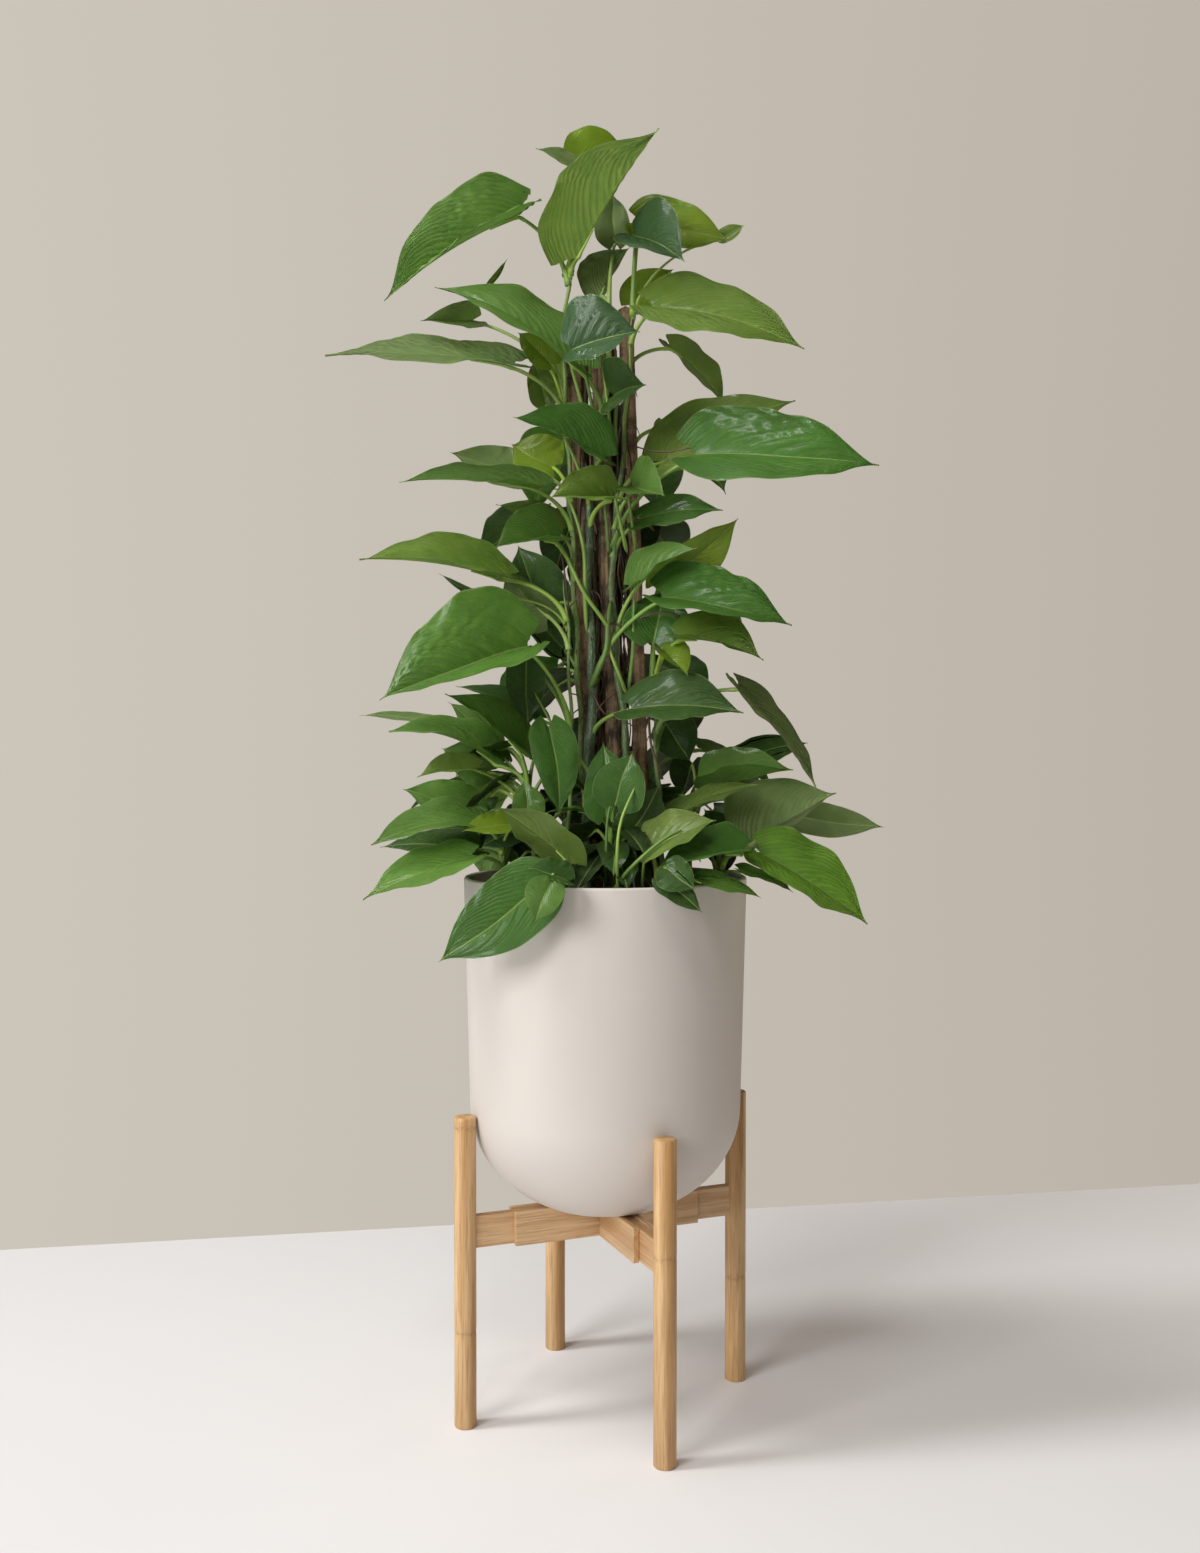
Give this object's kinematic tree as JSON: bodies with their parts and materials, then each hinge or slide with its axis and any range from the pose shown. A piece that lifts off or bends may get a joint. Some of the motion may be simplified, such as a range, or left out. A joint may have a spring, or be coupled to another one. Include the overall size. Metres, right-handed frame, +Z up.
{
  "type": "potted jade pothos",
  "caption": "Climbing jade pothos on rough stakes in a round-bottomed planter that stands in a bamboo stand with telescoping rails.",
  "frame": {"origin": "on the floor, under the planter's axis, in the middle of the four feet", "axes": "+Z up along the planter's axis, -Y toward the plant's best side, +X to the right of that side"},
  "size_m": [0.6074, 0.4052, 1.4083],
  "materials": {
    "bamboo_pole": "satin",
    "bamboo_strip": "satin",
    "ceramic": "matte",
    "potting_mix": "matte",
    "stake_wood": "matte",
    "stake_bark": "matte",
    "foliage": "satin"
  },
  "bodies": {
    "base": {"plate_long_near": "bamboo_strip", "plate_long_far": "bamboo_strip", "plate_cross_near": "bamboo_strip", "plate_cross_far": "bamboo_strip", "cross_block": "bamboo_strip", "planter": "ceramic", "potting_mix": "potting_mix", "stake_left": "stake_wood", "stake_bark": "stake_bark", "stake_right": "stake_wood", "stake_back": "stake_bark", "climber_left": "foliage", "climber_front": "foliage", "climber_right": "foliage", "climber_left_low": "foliage", "climber_right_low": "foliage", "climber_back_left": "foliage", "climber_back_right": "foliage", "bush_left_upper": "foliage", "bush_left_lower": "foliage", "bush_front_left": "foliage", "bush_centre": "foliage", "bush_right_upper": "foliage", "bush_right_lower": "foliage", "bush_front_right": "foliage", "bush_back_left": "foliage", "bush_back_middle": "foliage", "bush_back_right": "foliage"},
    "arm_back_right": {"leg_back_right": "bamboo_pole", "rail_back_right": "bamboo_strip"},
    "arm_back_left": {"leg_back_left": "bamboo_pole", "rail_back_left": "bamboo_strip"},
    "arm_front_left": {"leg_front_left": "bamboo_pole", "rail_front_left": "bamboo_strip"},
    "arm_front_right": {"leg_front_right": "bamboo_pole", "rail_front_right": "bamboo_strip"}
  },
  "joints": [
    {"name": "slide_back_right", "type": "slide", "parent": "base", "child": "arm_back_right", "axis": [0.9272, 0.3746, 0], "range_m": [0, 0.02]},
    {"name": "slide_back_left", "type": "slide", "parent": "base", "child": "arm_back_left", "axis": [-0.3746, 0.9272, 0], "range_m": [0, 0.02]},
    {"name": "slide_front_left", "type": "slide", "parent": "base", "child": "arm_front_left", "axis": [-0.9272, -0.3746, 0], "range_m": [0, 0.02]},
    {"name": "slide_front_right", "type": "slide", "parent": "base", "child": "arm_front_right", "axis": [0.3746, -0.9272, 0], "range_m": [0, 0.02]}
  ]
}
